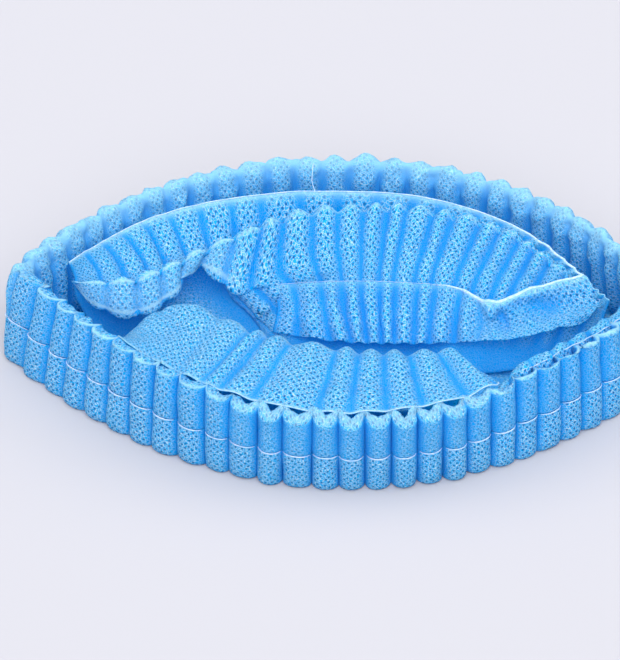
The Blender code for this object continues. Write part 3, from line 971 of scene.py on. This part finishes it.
# %% The front hem panel
CROSSED_AT = 0.80
CREASE_MARGIN = 0.03
TUCKED_UNTIL = 0.14
TUCK_FADE = 1.5
TUCK_DEPTH = 4.0 * MM
FLAP_STARTS = (0.62, 0.70)
FLAP_FLUTES_LOST = 0.92
FLAP_WAVES = 0.95
FLAP_SLOWING = 0.8
FLAP_HELD_UNTIL = 0.1
FLAP_SAG = 2.0 * MM
FLAP_CREST = 0.84
SAG_PAINTED_SHADE = 0.14
CREASE_SHADE = 0.65
PANEL_HIGHLIGHT = 0.35
FLAP_HIGHLIGHT = 0.45
PANEL_WRINKLES = (
    Wrinkle((42, -2, 21), (43, -8.4, 12.3), 1.2, 2.2),
    Wrinkle((44.5, -2, 19.5), (47, -5.5, 14), 1.4, -2.4),
    Wrinkle((48, -1.5, 19.5), (56, -6, 14.5), 1.3, 2.2),
    Wrinkle((51, -1.5, 18.5), (66, -0.5, 20), 2.4, -3.0),
)


def panel_swell(place, down):
    return 1 - FLAP_FLUTES_LOST * ramp(place, *FLAP_STARTS)


def shared_creases(line, crossed):
    """Creases along the line that lie in front of those of the cloth behind it."""
    shares, lengths = line_lengths(line)
    x = through(line, shares)[:, 0]
    inside = crossed[(crossed > x[0]) & (crossed < x[-1])]
    found = np.interp(inside, x, lengths / lengths[-1])
    found = found[(found > CREASE_MARGIN) & (found < 1 - CREASE_MARGIN)]
    return np.concatenate([[0.0], found, [1.0]])


panel_lines = fold_lines(FRONT_HEM_PANEL)
behind = centre_points[round(CROSSED_AT * CENTRE_FOLD.rows), :: CENTRE_FOLD.samples, 0]
panel_creases = shared_creases(panel_lines[0], behind)
panel_points, panel_crest, panel_place = fold_grid(FRONT_HEM_PANEL, panel_lines, panel_creases, panel_swell)
panel_down = np.linspace(0, 1, len(panel_points))[:, None]
flap = ramp(panel_place, *FLAP_STARTS)
sag = np.cos(math.tau * FLAP_WAVES * panel_down**FLAP_SLOWING) * ramp(panel_down, 0, FLAP_HELD_UNTIL) * flap
tucked = (1 - ramp(panel_place, 0, TUCKED_UNTIL)) ** TUCK_FADE

panel_points = panel_points + normals(panel_points) * (sag * FLAP_SAG)[:, :, None]
panel_points = panel_points - np.array(towards_camera) * (tucked * TUCK_DEPTH)[:, :, None]
panel_points = crumple(panel_points, size=5 * MM, depth=0.6 * MM)
# Painted light and shade: the flap is painted lighter and darker along its sag's wave
panel_crest = panel_crest + (FLAP_CREST + SAG_PAINTED_SHADE * sag - panel_crest) * flap
# Painted shade: the flap's creases are painted darker
for wrinkle in PANEL_WRINKLES:
    if wrinkle.height < 0:
        panel_crest = panel_crest * (1 - CREASE_SHADE * near_wrinkle(panel_points, wrinkle))
panel_points = wrinkled(panel_points, PANEL_WRINKLES)
# A painted highlight along the hem, stronger on the flap
panel_highlight = near_row(panel_points, share=0.0, width=0.12) * (PANEL_HIGHLIGHT + FLAP_HIGHLIGHT * flap)
panel_cloth = cloth_sheet("front_hem_panel_cloth", panel_points, panel_crest, panel_highlight)
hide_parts("front_hem_panel")

# %% [markdown]
# The front fold rises from the crown, rolls over a ridge, and lies down flat to the front wall, which it
# meets along its lip. Its left end is a broad smooth flap, and its flutes start to the right of that.

# %% The front fold's lines
FRONT_FOLD = Fold(
    lines={
        "foot": (
            (-0.715, -0.2, None), (-0.6, -0.13, None), (-0.5, -0.128, None), (-0.296, -0.315, None),
            (0.0, -0.455, None), (0.18, -0.47, None), (0.3, -0.49, None), (0.37, -0.56, None),
        ),
        "ridge": (
            (-0.765, -0.325, 0.58), (-0.665, -0.235, 0.8), (-0.55, -0.187, 0.9), (-0.308, -0.432, 0.9),
            (0.0, -0.56, 0.87), (0.2, -0.565, 0.85), (0.33, -0.58, 0.84), (0.385, -0.65, 0.62),
        ),
    },
    depths=(0.6, 0.8, 1.0, 0.4),
    ridge_at=1 / 3,
    depth=2.6 * MM,
    samples=18,
    rows=52,
)
print("stations along the front fold's ridge:", len(FRONT_FOLD.lines["ridge"]))

# %% [markdown]
# Two more lines finish the front fold. One is its lip, and the other lies between the ridge and the lip. The
# flutes are weak in the broad lobes at its left, which one sharp crease crosses, and grow towards its right.

# %% The front fold
FRONT_FOLD_WIDTHS = (20, 16, 11, 5.5, 7.5, 13.5, 6.5, 7, 7, 8, 8, 6)
FRONT_LIP_TURNS = (0.624, 0.635, 0.650, 0.681, 0.7435, 0.7867, 0.8169, 0.8215)
LIP_STATIONS = 40
LIP_INSET = (0.52, 0.57)  # on the folded wall and on the gaping one
LIP_UP = (0.965, 0.985)
FRONT_SWELL = ((0.0, 0.1, 0.3, 0.45, 1.0), (0.2, 0.5, 0.5, 0.9, 1.0))
FRONT_FLUTED = ((0.0, 0.25, 0.42, 1.0), (0.0, 0.15, 0.8, 0.95))
UNFLUTED_CREST = 0.8
RIDGE_HIGHLIGHT = 0.5
FRONT_WRINKLES = (Wrinkle((-58, -13, 27), (-46, -28, 28), 2.0, -2.4),)


def lip_line():
    """The front fold's near edge, on the wall's folded top and at the gaping flutes' ribbon."""
    turn = through(np.array(FRONT_LIP_TURNS)[:, None], np.linspace(0, 1, LIP_STATIONS))[:, 0]
    gaping = along_wall(turn, "gaping")
    inset = WALL_FOLD_DEPTH * np.interp(gaping, (0, 1), LIP_INSET)
    up = np.interp(gaping, (0, 1), LIP_UP)
    x, y = ring_point(turn, inset + lean_in(turn, 1))
    return np.stack([x, y, WALL_HEIGHT * along_wall(turn, "height") * up], axis=1)


def between_lines(first, second, share, rise):
    """The line part of the way from one line to another, raised a little."""
    places = np.linspace(0, 1, LIP_STATIONS)
    line = through(first, places) * (1 - share) + through(second, places) * share
    return line + np.array([0, 0, rise])


def front_swell(place, down):
    """How strong the front fold's flutes are, from its broad left lobes to its right end."""
    return np.interp(place, *FRONT_SWELL)


front_lines = fold_lines(FRONT_FOLD)
front_lip = lip_line()
front_lines.append(between_lines(front_lines[1], front_lip, share=0.6, rise=0.5 * MM))
front_lines.append(front_lip)
front_creases = np.concatenate([[0], np.cumsum(FRONT_FOLD_WIDTHS)]) / sum(FRONT_FOLD_WIDTHS)
front_points, front_crest, front_place = fold_grid(FRONT_FOLD, front_lines, front_creases, front_swell)
front_points = crumple(front_points, size=6 * MM, depth=0.6 * MM)
front_points = wrinkled(front_points, FRONT_WRINKLES)
fluted = np.interp(front_place, *FRONT_FLUTED)
front_crest = front_crest * fluted + UNFLUTED_CREST * (1 - fluted)
# Painted highlights along the lip and the ridge
front_highlight = near_row(front_points, share=1.0, width=0.03)
front_highlight = front_highlight + RIDGE_HIGHLIGHT * near_row(front_points, share=1 / 3, width=0.05)
front_cloth = cloth_sheet("front_fold_cloth", front_points, front_crest, front_highlight)
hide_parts("front_fold")

# %% [markdown]
# Under the folds the crown lies flat, where the flutes run out towards the middle of the lens.

# %% The crown
CROWN_ROWS = 16
CROWN_COLUMNS = 720
CROWN_EDGE = 1.25 * WALL_FOLD_DEPTH
CROWN_SPACING = 1.4
CROWN_RIPPLE = 0.7 * MM
RIPPLE_FADE = 1.5
CROWN_SHADED_CREST = 0.3
CROWN_RIPPLE_SHADE = 0.2


def crown_grid():
    turn = np.linspace(0, 1, CROWN_COLUMNS + 1)
    flute = np.interp(turn, creases, np.arange(len(creases)))
    crest = np.abs(np.sin(np.pi * flute))
    rows = []
    for share in np.linspace(0, 1, CROWN_ROWS) ** CROWN_SPACING:
        x, y = ring_point(turn, CROWN_EDGE + (CAP_DEPTH / 2 - CROWN_EDGE) * share)
        height = CROWN_THICKNESS / 2 + CROWN_RIPPLE * (crest - 0.5) * (1 - share) ** RIPPLE_FADE
        rows.append(np.stack([x, y, height], axis=1))
    rows = np.array(rows)
    rows[:, -1] = rows[:, 0]
    return rows, np.tile(CROWN_SHADED_CREST + crest * CROWN_RIPPLE_SHADE, (CROWN_ROWS, 1))


# Painted shade: the crown's low crest paints it a deeper blue, most in its ripples' creases
crown_points, crown_crest = crown_grid()
crown_rim = np.zeros_like(crown_crest)
crown_cloth = cloth_sheet("crown_cloth", crown_points, crown_crest, crown_rim, closed=True)
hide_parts("crown_base")

# %% [markdown]
# A rubber strand runs in each hem. Thin threads run round the wall at half its height, on the brim at the
# right of the front, and on the front fold's lip. Each is a curve with a round bevel along a row of its
# cloth, and a table gives its thickness along its length. One loose end of thread hangs at the back.

# %% The rubber and the threads
HEM_RADIUS = 0.6 * MM
HEM_STANDS_OUT = 0.4 * HEM_RADIUS
HEM_CHANGE = 0.15
THREAD_RADIUS = 0.19 * MM
BRIM_THREAD_RADIUS = 0.75 * THREAD_RADIUS
FINE_THREAD_RADIUS = 0.6 * THREAD_RADIUS
THREAD_STANDS_OUT = 0.45 * MM
THREAD_ABOVE = np.array([0, 0, 0.2 * MM])
BACK_HEM_ENDS = 72 * MM
BRIM_THREAD_FROM = 0.83
BRIM_THREAD_POINTS = 120
BRIM_WAVE_STEP = 0.55
BRIM_WAVE_HEIGHT = 0.15 * MM
LIP_THREAD = slice(70, -6, 2)
LOOSE_LINE = ((-11.2, 61, 29.8), (-11.6, 56, 27), (-11.0, 50, 28), (-10.8, 46, 30), (-10.6, 44.4, 26.5))
LOOSE_POINTS = 20

EVEN = ((0.0, 1.0), (1.0, 1.0))
BACK_HEM_THICKNESS = ((0.0, 0.3, 0.7, 0.8, 1.0), (0.30, 0.30, 0.40, 0.65, 0.65))
FRONT_HEM_THICKNESS = ((0.0, 0.5, 0.62, 1.0), (0.12, 0.12, 1.1, 1.1))
FADING_OUT = ((0.0, 0.3, 0.7, 1.0), (0.35, 1.0, 1.0, 0.35))


def strand(name, lines, radius, thickness=EVEN, change=0.0):
    """A round strand along each of the lines, as thick as its table says, and a little uneven."""
    curve = bpy.data.curves.new(name, "CURVE")
    curve.dimensions = "3D"
    curve.bevel_depth = radius
    curve.bevel_resolution = 2
    curve.use_fill_caps = True
    for line in lines:
        spline = curve.splines.new("POLY")
        spline.points.add(len(line) - 1)
        for index, (point, place) in enumerate(zip(spline.points, line)):
            point.co = (*place, 1.0)
            share = float(np.interp(index / (len(line) - 1), *thickness))
            point.radius = share * (1 + chance.uniform(-change, change))
    curve.materials.append(rubber_surface)
    made = placed(name, curve)
    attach(made, "root")
    print(f"{name}: {len(lines)} lines of {len(lines[0])} points")
    return made


def beyond(edge, inner, distance):
    """The edge's points moved away from the next row by distance."""
    away = edge - inner
    return edge + away / np.linalg.norm(away, axis=1, keepdims=True) * distance


back_line = beyond(centre_points[0], centre_points[3], HEM_STANDS_OUT)[::3]
back_line = back_line[back_line[:, 0] < BACK_HEM_ENDS]
back_strand = strand("back_hem_strand", [back_line], HEM_RADIUS, BACK_HEM_THICKNESS, HEM_CHANGE)
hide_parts("back_elastic")
front_line = beyond(panel_points[0], panel_points[3], HEM_STANDS_OUT)[::3]
front_strand = strand("front_hem_strand", [front_line], HEM_RADIUS, FRONT_HEM_THICKNESS, HEM_CHANGE)
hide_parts("front_elastic")

# %% [markdown]
# The wall's thread dips out of sight in each crease, so it is one short arc on each flute.

# %% The wall's thread and the others
groove = wall_points[THREAD_LEVEL * ROWS_A_LEVEL]
outward = groove[:, :2] / np.array([CAP_LENGTH, CAP_DEPTH]) ** 2
outward = outward / np.linalg.norm(outward, axis=1, keepdims=True)
thread_line = groove + np.pad(outward, ((0, 0), (0, 1))) * THREAD_STANDS_OUT
flute_starts = range(0, len(thread_line) - 1, WALL_SAMPLES)
arcs = [thread_line[start + 2 : start + WALL_SAMPLES - 1] for start in flute_starts]
wall_thread = strand("wall_thread", arcs, THREAD_RADIUS, FADING_OUT)

brim_row = wall_points[BRIM_THREAD_LEVEL * ROWS_A_LEVEL]
crests_only = brim_row[WALL_SAMPLES // 2 :: WALL_SAMPLES]
crest_turns = (creases[:-1] + creases[1:]) / 2
right_tops = crests_only[crest_turns > BRIM_THREAD_FROM] + THREAD_ABOVE
brim_line = through(right_tops, np.linspace(0, 1, BRIM_THREAD_POINTS))
brim_line[:, 2] += np.sin(np.arange(BRIM_THREAD_POINTS) * BRIM_WAVE_STEP) * BRIM_WAVE_HEIGHT
brim_thread = strand("brim_thread", [brim_line], BRIM_THREAD_RADIUS)

lip_edge = front_points[-1] + THREAD_ABOVE
lip_thread = strand("lip_thread", [lip_edge[LIP_THREAD]], FINE_THREAD_RADIUS)
loose_line = through(np.array(LOOSE_LINE) * MM, np.linspace(0, 1, LOOSE_POINTS))
loose_thread = strand("loose_thread", [loose_line], FINE_THREAD_RADIUS)
